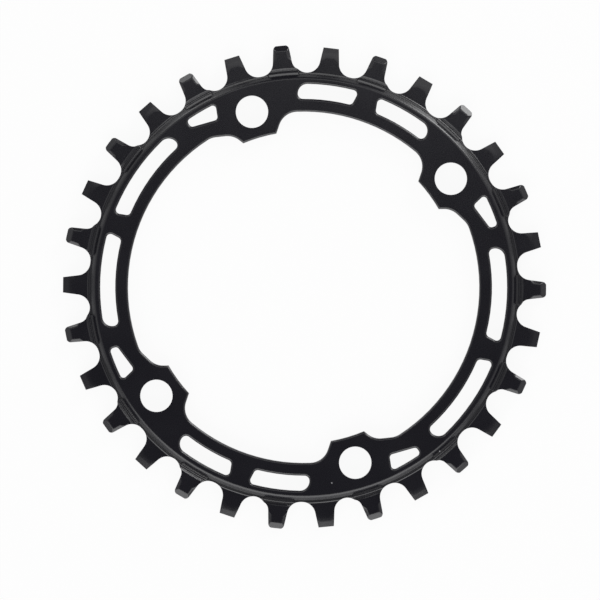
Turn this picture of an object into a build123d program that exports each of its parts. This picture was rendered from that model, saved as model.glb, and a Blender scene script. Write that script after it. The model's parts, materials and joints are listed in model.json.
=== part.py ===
from build123d import *
import os
from math import asin, cos, degrees, pi, radians, sin, sqrt, tan

# Narrow-wide bicycle chainring for a four-arm crank, machined from one aluminium plate.
# It lies on its back face with its centre at the origin, and its outer side faces +Z.
# The plate mirrors about X and Y. A wide tooth stands on +Y, and wide and narrow teeth alternate.
# Lengths are in millimetres and angles in degrees.

# Tooth outline, from the chain it takes
tooth_pairs = 15
chain_pitch = 12.7
root_depth = 4.4
wide_tip_height = 2.9
narrow_tip_height = 2.4
seat_radius = 3.5
seat_flat = 0.5
flank_lean = 13.0
wide_corner = 1.2
shoulder_reach = 2.05
shoulder_rise = 0.93
shoulder_run = 0.75
shoulder_slope = 25.0

# Thicknesses, each shared evenly about the middle of the plate
plate_thickness = 4.0
wide_thickness = 3.7
narrow_thickness = 2.1

# Rim: the turned groove between the plate and the teeth, and the pockets that thin the narrow teeth
rim_ledge = 1.4
rim_slope = 46.0
groove_depth = 0.7
groove_floor = 1.4
base_rise = 0.6
wide_base_angle = 6.5
pocket_end_slope = 45.0

# Bevels that lead the chain onto the teeth
bevel_tilt = 35.0
tip_bevel = 1.4
flank_bevel = 0.7
flank_bevel_start = 2.75
flank_bevel_full = 3.8
crown_offset = 2.8
crown_reach = 3.15
crown_turn = 42.0
crown_tilt = 15.0

# Bolt tabs, placed from the bore
bolt_inset = 1.9
bolt_spread = 70.0
bolt_hole = 8.5
tab_reach = 7.05
tab_boss = 7.9
tab_flare = 35.0
tab_fillet = 5.0
tab_shoulder = 4.55
tab_ramp = 10.4

# Windows between the rim and the bore, with their ends placed by angle from the nearest bolt.
# The two roundings of a far end are shares of the window's width.
rim_wall = 1.55
window_width = 3.95
bore_wall = 3.35
spoke_outer = 5.3
spoke_inner = 6.6
short_window_gap = 14.7
long_window_gap = 24.9
far_outer_round = 0.64
far_inner_round = 0.33
small_window_outer_gap = 9.3
small_window_inner_gap = 10.7
small_window_far_gap = 18.7
small_window_far_width = 2.05
small_window_corner = 0.9
window_corner = 1.1

# Radii and angles that follow from the sizes above
tooth_count = 2 * tooth_pairs
tooth_step = 360 / tooth_count
pair_step = 360 / tooth_pairs
pitch_radius = chain_pitch / (2 * sin(pi / tooth_count))
root_radius = pitch_radius - root_depth
wide_tip_radius = pitch_radius + wide_tip_height
narrow_tip_radius = pitch_radius + narrow_tip_height
rim_radius = root_radius - rim_ledge
window_outer = rim_radius - rim_wall
window_inner = window_outer - window_width
bore_radius = window_inner - bore_wall
bolt_radius = bore_radius + bolt_inset
bolt_angle = bolt_spread / 2
register_radius = bolt_radius - tab_reach
plate_half = plate_thickness / 2
wide_half = wide_thickness / 2
narrow_half = narrow_thickness / 2
pocket_angle = pair_step - wide_base_angle
overrun = 1.0
crest_margin = 0.08


def at(radius, angle):
    """Point at a radius, at an angle measured clockwise from +Y."""
    return radius * sin(radians(angle)), radius * cos(radians(angle))


def arc(radius, start, end):
    """Arc about the centre of the ring between two angles."""
    return ThreePointArc(at(radius, start), at(radius, (start + end) / 2), at(radius, end))


def in_quadrants(sketch):
    """The sketch with its mirror images about X, about Y and about both."""
    half = sketch + mirror(sketch, about=Plane.YZ)
    return half + mirror(half, about=Plane.XZ)


def through_cut(sketch):
    """Cutter with the outline of the sketch that passes through both faces of the plate."""
    return extrude(Pos(0, 0, -plate_thickness) * sketch, 2 * plate_thickness)


def around(shape, angle):
    """One copy of the shape for each pair of teeth, turned clockwise from the wide tooth by an angle."""
    return [Rot(0, 0, -angle - pair_step * pair) * shape for pair in range(tooth_pairs)]


# Blank: plate, groove and wide-tooth section, turned as one disc
def blank_side(side):
    """Corners of the section from the axis to the tip, on the front (side 1) or the back (side -1)."""
    groove_half = plate_half - groove_depth
    floor_start = rim_radius + groove_depth / tan(radians(rim_slope))
    floor_end = floor_start + groove_floor
    return [
        (0, side * plate_half),
        (rim_radius, side * plate_half),
        (floor_start, side * groove_half),
        (floor_end, side * groove_half),
        (floor_end + base_rise, side * wide_half),
        (wide_tip_radius, side * wide_half),
    ]


blank_section = make_face(Polyline(*blank_side(1), *reversed(blank_side(-1)), close=True))
blank = revolve(Plane.XZ * blank_section, Axis.Z)


# Windows in the first quadrant
def curved_window(spoke, turn, end):
    """Window that turns from a spoke to a far end, which is rounded most on its outer side."""
    outer_start = spoke + turn * degrees(asin(spoke_outer / 2 / window_outer))
    inner_start = spoke + turn * degrees(asin(spoke_inner / 2 / window_inner))
    far_outer = at(window_outer, end)
    far_inner = at(window_inner, end)
    outline = make_face([
        Line(at(window_inner, inner_start), at(window_outer, outer_start)),
        arc(window_outer, outer_start, end),
        Line(far_outer, far_inner),
        arc(window_inner, end, inner_start),
    ])
    outline = fillet(outline.vertices().sort_by_distance(far_outer)[0], far_outer_round * window_width)
    outline = fillet(outline.vertices().sort_by_distance(far_inner)[0], far_inner_round * window_width)
    near_corners = outline.vertices().sort_by_distance(at(window_inner, spoke))[:2]
    return fillet(near_corners, window_corner)


def small_window():
    """Window beside the bolt, with a slanted inner side that narrows away from it."""
    outer_start = bolt_angle + small_window_outer_gap
    end = bolt_angle + small_window_far_gap
    near = at(window_inner, bolt_angle + small_window_inner_gap)
    far = at(window_outer - small_window_far_width, end)
    outline = make_face([
        Line(near, at(window_outer, outer_start)),
        arc(window_outer, outer_start, end),
        Line(at(window_outer, end), far),
        Line(far, near),
    ])
    return fillet(outline.vertices(), small_window_corner)


short_window = curved_window(0, 1, bolt_angle - short_window_gap)
long_window = curved_window(90, -1, bolt_angle + long_window_gap)
windows = in_quadrants(short_window + long_window + small_window())


# Bore with its four bolt tabs
def tab_point(out, along):
    """Point by its distance outwards from the bolt and clockwise along the tab's width."""
    return Vector(*at(bolt_radius + out, bolt_angle)) + Vector(*at(along, bolt_angle + 90))


def tab_width(out):
    """Half the width of the tab at a distance outwards from the bolt."""
    return (tab_boss + out * sin(radians(tab_flare))) / cos(radians(tab_flare))


tab_end = -tab_reach - overrun
tab_root = bore_radius - bolt_radius + 3 * overrun
ramp_start = tab_width(-tab_shoulder)
ramp_end = (tab_root + tab_shoulder) / tan(radians(tab_ramp)) + ramp_start
scoop = tab_point(-tab_shoulder, ramp_start)
tab = make_face(Polyline(
    tab_point(tab_end, -tab_width(tab_end)),
    tab_point(tab_end, tab_width(tab_end)),
    scoop,
    tab_point(tab_root, ramp_end),
    tab_point(tab_root, -tab_width(tab_root)),
    close=True,
))
tab = fillet(tab.vertices().sort_by_distance(scoop)[0], tab_fillet)
bore = Rot(0, 0, 90 - bolt_angle) * Circle(bore_radius) - in_quadrants(tab)
bore_corners = [v for v in bore.vertices() if abs(Vector(v).length - bore_radius) < 0.01]
bore = fillet(bore_corners, tab_fillet) + Rot(0, 0, 90 - bolt_angle) * Circle(register_radius)

# Plate: the blank with its bore, windows and bolt holes cut through
bolt_holes = in_quadrants(Pos(*at(bolt_radius, bolt_angle)) * Circle(bolt_hole / 2))
plate = blank - through_cut(bore + windows + bolt_holes)


# Tooth gaps, drawn along +Y with the wide tooth on -X and the narrow tooth on +X
flank_up = Vector(-sin(radians(flank_lean)), cos(radians(flank_lean)))
flank_foot = seat_radius * (1 - sin(radians(flank_lean)))


def flank_out(height):
    """Distance of the straight flank from the middle of the gap, at a height above the root."""
    foot_out = seat_flat / 2 + seat_radius * cos(radians(flank_lean))
    return foot_out + (height - flank_foot) * tan(radians(flank_lean))


def tooth_gap(has_shoulder):
    """Gap beside a wide tooth, whose tip corner it rounds. A shoulder may stand at that tooth's foot."""
    foot = Vector(-flank_out(flank_foot), root_radius + flank_foot)
    far_foot = Vector(-foot.X, foot.Y)
    floor_end = Vector(seat_flat / 2, root_radius)
    top = wide_tip_radius + overrun
    far_top = Vector(flank_out(top - root_radius), top)

    # The corner arc runs a little past the tip circle, so that it crosses it at an angle
    crest_radius = wide_tip_radius + crest_margin
    corner = foot + Vector(-flank_up.Y, flank_up.X) * wide_corner
    height = corner.dot(flank_up)
    rise = sqrt(height**2 - corner.dot(corner) + (crest_radius - wide_corner)**2) - height
    corner_start = foot + flank_up * rise
    crest = (corner + flank_up * rise) * (crest_radius / (crest_radius - wide_corner))
    edges = [
        TangentArc(floor_end, far_foot, tangent=(1, 0)),
        Line(far_foot, far_top),
        Line(far_top, crest * (top / crest_radius)),
        Line(crest * (top / crest_radius), crest),
        TangentArc(corner_start, crest, tangent=flank_up),
        Line(corner_start, foot),
    ]
    if has_shoulder:
        slope = radians(shoulder_slope)
        knee = Vector(-shoulder_reach, root_radius + shoulder_rise)
        ledge = knee + Vector(-cos(slope), sin(slope)) * shoulder_run
        edges += [
            TangentArc(foot, ledge, tangent=-flank_up),
            Line(ledge, knee),
            TangentArc(floor_end, knee, tangent=(-1, 0)),
        ]
    else:
        floor_start = Vector(-floor_end.X, floor_end.Y)
        edges += [Line(floor_end, floor_start), TangentArc(floor_start, foot, tangent=(-1, 0))]
    return through_cut(make_face(edges))


left_gap = mirror(tooth_gap(False), about=Plane.YZ)
gaps = around(tooth_gap(True), tooth_step / 2) + around(left_gap, -tooth_step / 2)


# Pockets that thin the narrow teeth on both sides, and flats that shorten them
def pocket_side(side):
    """Corners of the section that a pocket leaves, from above the plate to past a narrow tooth's tip."""
    floor_start = rim_radius + (plate_half - narrow_half) / tan(radians(rim_slope))
    return [
        (rim_radius, side * (plate_half + overrun)),
        (rim_radius, side * plate_half),
        (floor_start, side * narrow_half),
        (wide_tip_radius + overrun / 2, side * narrow_half),
    ]


pocket_outside = [
    (wide_tip_radius + overrun, -plate_half - overrun),
    (wide_tip_radius + overrun, plate_half + overrun),
]
pocket_outline = [*pocket_side(1), *reversed(pocket_side(-1)), *pocket_outside]
pocket_section = Plane.YZ * make_face(Polyline(*pocket_outline, close=True))
pocket = revolve(Rot(0, 0, -pocket_angle / 2) * pocket_section, Axis.Z, pocket_angle)


def pocket_end():
    """Block that keeps a sloped foot on the wide tooth, at the clockwise end of a pocket on +Y."""
    slope_run = (plate_half - narrow_half) / tan(radians(pocket_end_slope))
    section = make_face(Polyline(
        (0, plate_half),
        (slope_run, narrow_half),
        (slope_run, -narrow_half),
        (0, -plate_half),
        close=True,
    ))
    outwards = Vector(*at(1, pocket_angle / 2))
    plane = Plane(outwards * rim_radius, x_dir=(-outwards.Y, outwards.X, 0), z_dir=outwards)
    return extrude(plane * section, seat_radius)


pocket_ends = pocket_end() + mirror(pocket_end(), about=Plane.YZ)
tip_flat = Pos(0, narrow_tip_radius + chain_pitch / 2, 0) * Box(chain_pitch, chain_pitch, plate_thickness)
pockets = around(pocket - pocket_ends, tooth_step) + around(tip_flat, tooth_step)


# Bevels on the fronts of the teeth
def bevel_cut(edge_start, edge_direction, length, face_height, tilt):
    """Wedge whose lower side falls away to the right of an edge on the face of a tooth."""
    slope = tan(radians(tilt))
    section = make_face(Polyline(
        (overrun / slope, face_height + overrun),
        (-seat_radius, face_height - seat_radius * slope),
        (-seat_radius, face_height + overrun),
        close=True,
    ))
    plane = Plane(edge_start, x_dir=(-edge_direction.Y, edge_direction.X, 0), z_dir=edge_direction)
    return extrude(plane * section, length)


def wide_flank_cut():
    """Bevel on the wide tooth at -X of a gap, growing from nothing before it follows the flank."""
    start = Vector(-flank_out(flank_bevel_start), root_radius + flank_bevel_start)
    full_out = flank_out(flank_bevel_full) + flank_bevel / cos(radians(flank_lean))
    full = Vector(-full_out, root_radius + flank_bevel_full)
    growth = (full - start).normalized()
    growing = bevel_cut(start - growth * flank_bevel, growth, chain_pitch, wide_half, bevel_tilt)
    along = bevel_cut(full - flank_up * chain_pitch / 2, flank_up, chain_pitch, wide_half, bevel_tilt)
    return growing & along


def wide_tip_cut():
    """Bevel across the tip of a wide tooth on +Y."""
    edge_start = Vector(chain_pitch / 2, wide_tip_radius - tip_bevel)
    return bevel_cut(edge_start, Vector(-1, 0), chain_pitch, wide_half, bevel_tilt)


def crown_cut(turn):
    """One of the slopes that crown the tip of a narrow tooth on +Y, facing an angle from its middle."""
    edge_start = Vector(chain_pitch / 4, crown_reach)
    slope = bevel_cut(edge_start, Vector(-1, 0), chain_pitch / 2, narrow_half, crown_tilt)
    return Pos(0, pitch_radius - crown_offset, 0) * Rot(0, 0, turn) * slope


right_flank_cut = wide_flank_cut()
left_flank_cut = mirror(right_flank_cut, about=Plane.YZ)
front_cuts = around(wide_tip_cut(), 0)
front_cuts += around(right_flank_cut, tooth_step / 2) + around(left_flank_cut, -tooth_step / 2)
for turn in (-crown_turn, 0, crown_turn):
    front_cuts += around(crown_cut(turn), tooth_step)
back_cuts = [mirror(cut, about=Plane.XY) for cut in front_cuts]

chainring = plate - gaps - pockets - front_cuts - back_cuts
chainring = Pos(0, 0, plate_half) * chainring
os.makedirs("parts", exist_ok=True)
export_step(chainring, "parts/chainring.step")
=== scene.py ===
import json
import math

import bmesh
import bpy
from mathutils import Matrix, Vector


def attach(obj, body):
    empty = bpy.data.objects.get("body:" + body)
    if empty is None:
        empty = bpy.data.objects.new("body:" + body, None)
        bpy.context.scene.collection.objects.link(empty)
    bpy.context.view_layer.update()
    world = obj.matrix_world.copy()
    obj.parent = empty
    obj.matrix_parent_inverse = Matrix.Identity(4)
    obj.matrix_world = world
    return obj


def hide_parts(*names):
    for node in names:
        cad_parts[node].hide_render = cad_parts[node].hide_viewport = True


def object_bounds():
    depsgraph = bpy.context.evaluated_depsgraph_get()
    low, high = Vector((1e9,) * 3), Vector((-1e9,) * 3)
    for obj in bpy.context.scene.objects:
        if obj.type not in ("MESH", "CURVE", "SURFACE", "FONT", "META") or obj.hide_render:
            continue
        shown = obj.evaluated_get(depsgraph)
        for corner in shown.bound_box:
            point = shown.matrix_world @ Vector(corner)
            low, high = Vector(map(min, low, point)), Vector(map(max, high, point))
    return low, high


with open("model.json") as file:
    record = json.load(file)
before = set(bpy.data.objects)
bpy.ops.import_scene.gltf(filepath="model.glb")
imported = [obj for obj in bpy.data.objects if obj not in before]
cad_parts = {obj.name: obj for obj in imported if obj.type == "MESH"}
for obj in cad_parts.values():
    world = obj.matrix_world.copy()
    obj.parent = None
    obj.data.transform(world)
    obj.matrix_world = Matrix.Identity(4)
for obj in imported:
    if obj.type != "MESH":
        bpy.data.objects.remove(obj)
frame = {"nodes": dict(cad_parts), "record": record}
cad_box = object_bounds()

# Ring: one plate of aluminium with its teeth, windows and bolt tabs cut in it, anodised black all over.
# The plate's outlines are tumbled round, the teeth are only broken at their edges, and the bolt holes
# are left crisp. It keeps the solid's form and rounds its edges.
MM = 0.001

# Widths of the roundings, in millimetres
PLATE_EDGE = 0.6
RIM_EDGE = 0.4
BASE_EDGE = 0.1
BASE_FILLET = 0.12
CROWN_EDGE = 0.8
BEVEL_EDGE = 0.28
OUTLINE_EDGE = 0.03

# Radii in millimetres that part the edges of the plate, the rim, the teeth's bases and their bevels
RIM_RADIUS = 54.5
GROOVE_RADIUS = 55.4
BASE_RADIUS = 56.2
BEVELS_RADIUS = 59.0

# Degrees from one wide tooth to the next
PAIR_STEP = 24

# Bends that tell outlines, creases, crown edges, edges left as they are and flats from each other
OUTLINE_BEND = math.radians(50)
CREASE_BEND = math.radians(20)
CROWN_BEND = math.radians(13)
LEAST_BEND = math.radians(8)
FLAT_BEND = math.radians(0.6)

# Shares of an edge's length that make it upright or radial
UPRIGHT_SHARE = 0.5
RADIAL_SHARE = 0.4

# Share of a bolt hole's radius within which edges stay crisp
BOLT_SHARE = 1.1

# Distances in millimetres within which corners are one, before and after the rounding
SAME_CORNER = 0.001
LEAST_GAP = 0.05

bolts = next(mount for mount in frame["record"]["mounts"] if mount["kind"] == "bolt_pattern")["dims"]
bolt_place = Vector((bolts["spacing_x_mm"], bolts["spacing_y_mm"])) / 2


def edge_rounding(edge):
    """Width in millimetres of the rounding on an edge of the ring, by where it runs and how it bends."""
    ends = [end.co / MM for end in edge.verts]
    middle = (ends[0] + ends[1]) / 2
    radius = middle.xy.length
    length = (ends[0] - ends[1]).length
    bend = edge.calc_face_angle_signed()
    upright = abs(ends[0].z - ends[1].z) > UPRIGHT_SHARE * length
    radial = abs(ends[0].xy.length - ends[1].xy.length) > RADIAL_SHARE * length
    to_bolt = (Vector((abs(middle.x), abs(middle.y))) - bolt_place).length
    if upright or abs(bend) < LEAST_BEND or to_bolt < BOLT_SHARE * bolts["hole_r_mm"]:
        return 0.0
    if bend < 0:
        return BASE_FILLET if BASE_RADIUS < radius < BEVELS_RADIUS and not radial else 0.0
    if bend > OUTLINE_BEND:
        return PLATE_EDGE if radius < RIM_RADIUS else 0.0
    if radius < GROOVE_RADIUS:
        return RIM_EDGE
    if radius < BEVELS_RADIUS:
        return 0.0 if radial else BASE_EDGE
    past_wide = (math.degrees(math.atan2(middle.x, middle.y)) - PAIR_STEP / 4) % PAIR_STEP
    if past_wide > PAIR_STEP / 2:
        return BEVEL_EDGE
    return CROWN_EDGE if bend > CROWN_BEND else 0.0


form = bmesh.new()
form.from_mesh(frame["nodes"]["chainring"].data)
bmesh.ops.remove_doubles(form, verts=form.verts, dist=SAME_CORNER * MM)
bmesh.ops.dissolve_limit(form, angle_limit=FLAT_BEND, verts=form.verts, edges=form.edges)
share = form.edges.layers.float.new("bevel_weight_edge")
for edge in form.edges:
    edge[share] = edge_rounding(edge) / CROWN_EDGE
    edge.smooth = edge[share] > 0 or edge.calc_face_angle() < CREASE_BEND
for face in form.faces:
    face.smooth = True
ring_mesh = bpy.data.meshes.new("ring")
form.to_mesh(ring_mesh)
form.free()
ring_mesh.attributes.remove(ring_mesh.attributes["custom_normal"])
ring = bpy.data.objects.new("ring", ring_mesh)
bpy.context.scene.collection.objects.link(ring)

tumbling = ring.modifiers.new("tumbling", "BEVEL")
tumbling.width = CROWN_EDGE * MM
tumbling.segments = 5
tumbling.limit_method = "WEIGHT"
tumbling.use_clamp_overlap = False
tumbling.loop_slide = False
joining = ring.modifiers.new("joining", "WELD")
joining.merge_threshold = LEAST_GAP * MM
deburring = ring.modifiers.new("deburring", "BEVEL")
deburring.width = OUTLINE_EDGE * MM
deburring.segments = 2
deburring.angle_limit = OUTLINE_BEND
deburring.use_clamp_overlap = False
deburring.loop_slide = False
shading = ring.modifiers.new("shading", "WEIGHTED_NORMAL")
shading.keep_sharp = True
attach(ring, "root")
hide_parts("chainring")


class Shade:
    """One value of a finish. Arithmetic on it adds Math nodes."""

    def __init__(self, tree, socket=None):
        self.tree = tree
        self.socket = socket

    def node(self, kind, settings, inputs, output=0):
        """Adds any other node with its settings, then its inputs, and returns one of its outputs."""
        added = self.tree.nodes.new(kind)
        for name, value in settings.items():
            setattr(added, name, value)
        for name, value in inputs.items():
            if isinstance(value, Shade):
                self.tree.links.new(value.socket, added.inputs[name])
            else:
                added.inputs[name].default_value = value
        return Shade(self.tree, added.outputs[output] if added.outputs else None)

    def math(self, operation, *values):
        """Adds a Math node on these values."""
        return self.node("ShaderNodeMath", {"operation": operation}, dict(enumerate(values)))

    def __add__(self, other):
        return self.math("ADD", self, other)

    def __sub__(self, other):
        return self.math("SUBTRACT", self, other)

    def __rsub__(self, other):
        return self.math("SUBTRACT", other, self)

    def __mul__(self, other):
        return self.math("MULTIPLY", self, other)

    __radd__ = __add__
    __rmul__ = __mul__


# Finish of the whole ring: satin black anodising over the machined aluminium
black_anodised = bpy.data.materials.new("black_anodised_satin")
black_anodised.use_nodes = True
black_anodised.node_tree.nodes.clear()
finish = Shade(black_anodised.node_tree)
place = finish.node("ShaderNodeTexCoord", {}, {}, "Object")

# Turning left a shallow bead between the groove and the teeth, and fine lines across the teeth.
# Radii and heights are in millimetres, and the lines' scale counts to the millimetre.
BEAD_START = 55.82
BEAD_TOP = 56.32
BEAD_EDGE = 56.52
BEAD_END = 56.77
BEAD_RISE = 0.24
BEAD_FALL = 0.14
LINE_SCALE = 7.0
LINE_HEIGHT = 0.003
x_place = finish.node("ShaderNodeSeparateXYZ", {}, {"Vector": place}, "X")
y_place = finish.node("ShaderNodeSeparateXYZ", {}, {"Vector": place}, "Y")
radius = finish.math("SQRT", x_place * x_place + y_place * y_place) * (1 / MM)
inner_flank = finish.node("ShaderNodeMapRange", {}, {
    "Value": radius, "From Min": BEAD_START, "From Max": BEAD_TOP, "To Max": BEAD_RISE})
outer_flank = finish.node("ShaderNodeMapRange", {}, {
    "Value": radius, "From Min": BEAD_EDGE, "From Max": BEAD_END, "To Max": BEAD_FALL})
turned = finish.node("ShaderNodeMapRange", {}, {
    "Value": radius, "From Min": RIM_RADIUS, "From Max": GROOVE_RADIUS})
tool_lines = finish.node("ShaderNodeTexNoise", {"noise_dimensions": "1D"}, {
    "W": radius, "Scale": LINE_SCALE, "Detail": 2.0}, "Fac")

# Anodising leaves a fine even grain on the machined metal, and clouds its gloss and its black a little.
# The scales of grain and clouds count to the metre.
GRAIN_SCALE = 5200.0
GRAIN_HEIGHT = 0.002
GRAIN_ROUGHNESS = 0.06
CLOUD_SCALE = 90.0
CLOUD_ROUGHNESS = 0.07
NOISE_MIDDLE = 0.5
SATIN_ROUGHNESS = 0.27
DEEP_BLACK = (0.0038, 0.0035, 0.0065, 1)
SOFT_BLACK = (0.0058, 0.0054, 0.0095, 1)
grain = finish.node("ShaderNodeTexNoise", {}, {
    "Vector": place, "Scale": GRAIN_SCALE, "Detail": 2.0}, "Fac")
clouds = finish.node("ShaderNodeTexNoise", {}, {
    "Vector": place, "Scale": CLOUD_SCALE, "Detail": 3.0}, "Fac")
roughness = (
    SATIN_ROUGHNESS
    + GRAIN_ROUGHNESS * (grain - NOISE_MIDDLE)
    + CLOUD_ROUGHNESS * (clouds - NOISE_MIDDLE)
)
black = finish.node("ShaderNodeMix", {"data_type": "RGBA"}, {
    "Factor": clouds, "A": DEEP_BLACK, "B": SOFT_BLACK}, "Result")

# Two small knocks have chipped the black through to bright metal, with ragged edges.
# Each has its place and its radius in millimetres, and the scale counts to the metre.
KNOCKS = ((23.4, -46.3, 4.0, 0.22), (47.56, -29.37, 3.3, 0.18))
KNOCK_CORE = 0.6
RAGGED_SCALE = 3000.0
RAGGED_REACH = 0.3
BARE_METAL = (0.62, 0.62, 0.64, 1)
BARE_ROUGHNESS = 0.15
bare = 0.0
ragged = finish.node("ShaderNodeTexNoise", {}, {
    "Vector": place, "Scale": RAGGED_SCALE, "Detail": 2.0}, "Fac")
for x, y, z, size in KNOCKS:
    spot = finish.node("ShaderNodeVectorMath", {"operation": "DISTANCE"}, {
        0: place, 1: (x * MM, y * MM, z * MM)}, "Value")
    bare = bare + finish.node("ShaderNodeMapRange", {}, {
        "Value": spot * (1 / MM) + RAGGED_REACH * (ragged - NOISE_MIDDLE),
        "From Min": size,
        "From Max": KNOCK_CORE * size,
    })
colour = finish.node("ShaderNodeMix", {"data_type": "RGBA"}, {
    "Factor": bare, "A": black, "B": BARE_METAL}, "Result")

FILM_IOR = 1.62
relief = inner_flank - outer_flank + GRAIN_HEIGHT * grain + LINE_HEIGHT * tool_lines * turned
surface = finish.node("ShaderNodeBsdfPrincipled", {}, {
    "Base Color": colour,
    "Roughness": roughness + BARE_ROUGHNESS * bare,
    "Metallic": bare,
    "IOR": FILM_IOR,
    "Normal": finish.node("ShaderNodeBump", {}, {"Strength": 1.0, "Distance": MM, "Height": relief}),
})
finish.node("ShaderNodeOutputMaterial", {}, {"Surface": surface})
ring_mesh.materials.clear()
ring_mesh.materials.append(black_anodised)

# Floor: plain white paper that the ring lies on, a hair below its back face.
# It shines white to the eye and in reflections, and still takes the ring's shadow.
FLOOR_SIZE = 6.0
FLOOR_DROP = 0.02 * MM
FLOOR_GLOW = 0.93
PAPER_WHITE = (0.86, 0.86, 0.86, 1)
WHITE = (1, 1, 1, 1)
floor_mesh = bpy.data.meshes.new("floor")
half = FLOOR_SIZE / 2
corners = [(-half, -half, 0), (half, -half, 0), (half, half, 0), (-half, half, 0)]
floor_mesh.from_pydata(corners, [], [(0, 1, 2, 3)])
floor = bpy.data.objects.new("floor", floor_mesh)
bpy.context.scene.collection.objects.link(floor)
floor.location.z = cad_box[0].z - FLOOR_DROP

white_paper = bpy.data.materials.new("white_paper")
white_paper.use_nodes = True
white_paper.node_tree.nodes.clear()
sheet = Shade(white_paper.node_tree)
seen = sheet.node("ShaderNodeLightPath", {}, {}, "Is Camera Ray")
for ray in ("Is Glossy Ray", "Is Transmission Ray"):
    seen = seen + sheet.node("ShaderNodeLightPath", {}, {}, ray)
paper = sheet.node("ShaderNodeBsdfDiffuse", {}, {"Color": PAPER_WHITE})
glow = sheet.node("ShaderNodeEmission", {}, {"Color": WHITE, "Strength": 1.0})
mixed = sheet.node("ShaderNodeMixShader", {}, {0: seen * FLOOR_GLOW, 1: paper, 2: glow})
sheet.node("ShaderNodeOutputMaterial", {}, {"Surface": mixed})
floor_mesh.materials.append(white_paper)

# Studio: softboxes round the ring, placed as they stand in the picture, with +Y towards its top.
# The key is at the upper right, a weaker one at the upper left, a broad one below and a weak one overhead.
PICTURE_TURN = math.radians(18.6)
studio = Matrix.Rotation(PICTURE_TURN, 4, "Z")


def softbox(name, azimuth, elevation, distance, width, height, radiance):
    """Area lamp that faces the ring from a direction in the picture. A radiance of 1 is white."""
    a = math.radians(azimuth)
    e = math.radians(elevation)
    out = Vector((math.cos(a) * math.cos(e), math.sin(a) * math.cos(e), math.sin(e)))
    lamp = bpy.data.lights.new(name, "AREA")
    lamp.shape = "RECTANGLE"
    lamp.size = width
    lamp.size_y = height
    lamp.energy = radiance * math.pi * width * height
    holder = bpy.data.objects.new(name, lamp)
    turn = out.to_track_quat("Z", "Y").to_matrix().to_4x4()
    holder.matrix_world = studio @ Matrix.Translation(out * distance) @ turn
    bpy.context.scene.collection.objects.link(holder)


softbox("key_softbox", azimuth=50, elevation=17, distance=0.8, width=0.22, height=0.55, radiance=7.2)
softbox("second_softbox", azimuth=121, elevation=20, distance=0.8, width=0.20, height=0.45, radiance=2.6)
softbox("lower_softbox", azimuth=266, elevation=32, distance=1.0, width=1.6, height=1.0, radiance=1.75)
softbox("overhead_softbox", azimuth=81, elevation=65, distance=0.45, width=0.36, height=0.22, radiance=0.8)

# Walls: pale all round, dimmer at the foot, dark overhead, with a dark gap between the upper softboxes.
# Heights are sines of the elevation, and the gap's sides are cosines of the angle from its middle.
WALLS = 0.64
CEILING_POWER = 4.0
CEILING_DARK = 0.97
FOOT_HEIGHT = 0.3
FOOT_SHARE = 0.55
GAP_AZIMUTH = math.radians(95) + PICTURE_TURN
GAP_SIDE = 0.88
GAP_CORE = 0.995
GAP_TOP = 0.75
GAP_END = 0.88
GAP_DARK = 0.9
world = bpy.data.worlds.new("studio")
world.use_nodes = True
world.node_tree.nodes.clear()
room = Shade(world.node_tree)
direction = room.node("ShaderNodeTexCoord", {}, {}, "Generated")
upward = room.node("ShaderNodeSeparateXYZ", {}, {"Vector": direction}, "Z")
ceiling = room.math("POWER", upward, CEILING_POWER)
foot = room.node("ShaderNodeMapRange", {}, {"Value": upward, "From Max": FOOT_HEIGHT, "To Min": FOOT_SHARE})
facing = room.node("ShaderNodeVectorMath", {"operation": "DOT_PRODUCT"}, {
    0: direction, 1: (math.cos(GAP_AZIMUTH), math.sin(GAP_AZIMUTH), 0)}, "Value")
level = room.math("SQRT", 1 - upward * upward)
beside = room.node("ShaderNodeMapRange", {}, {
    "Value": room.math("DIVIDE", facing, level), "From Min": GAP_SIDE, "From Max": GAP_CORE})
above = room.node("ShaderNodeMapRange", {}, {"Value": upward, "From Min": GAP_TOP, "From Max": GAP_END})
gap = beside * (1 - above)
brightness = WALLS * foot * (1 - CEILING_DARK * ceiling) * (1 - GAP_DARK * gap)
walls = room.node("ShaderNodeBackground", {}, {"Color": WHITE, "Strength": brightness})
room.node("ShaderNodeOutputWorld", {}, {"Surface": walls})
bpy.context.scene.world = world

# Camera: straight above the ring on a long lens, so that the ring shows almost no perspective.
# It is turned with the studio, and aimed beside the ring's centre by as much as the picture is.
FRAME_WIDTH = 157.4 * MM
AIM_RIGHT = -0.95 * MM
AIM_UP = -3.34 * MM
DISTANCE = 3.0
lens = bpy.data.cameras.new("camera")
lens.sensor_width = 36.0
lens.lens = lens.sensor_width * DISTANCE / FRAME_WIDTH
lens.clip_end = 20.0
camera = bpy.data.objects.new("camera", lens)
front = cad_box[1].z
camera.matrix_world = studio @ Matrix.Translation((AIM_RIGHT, AIM_UP, front + DISTANCE))
bpy.context.scene.collection.objects.link(camera)
bpy.context.scene.camera = camera
bpy.context.scene.view_settings.view_transform = "Standard"
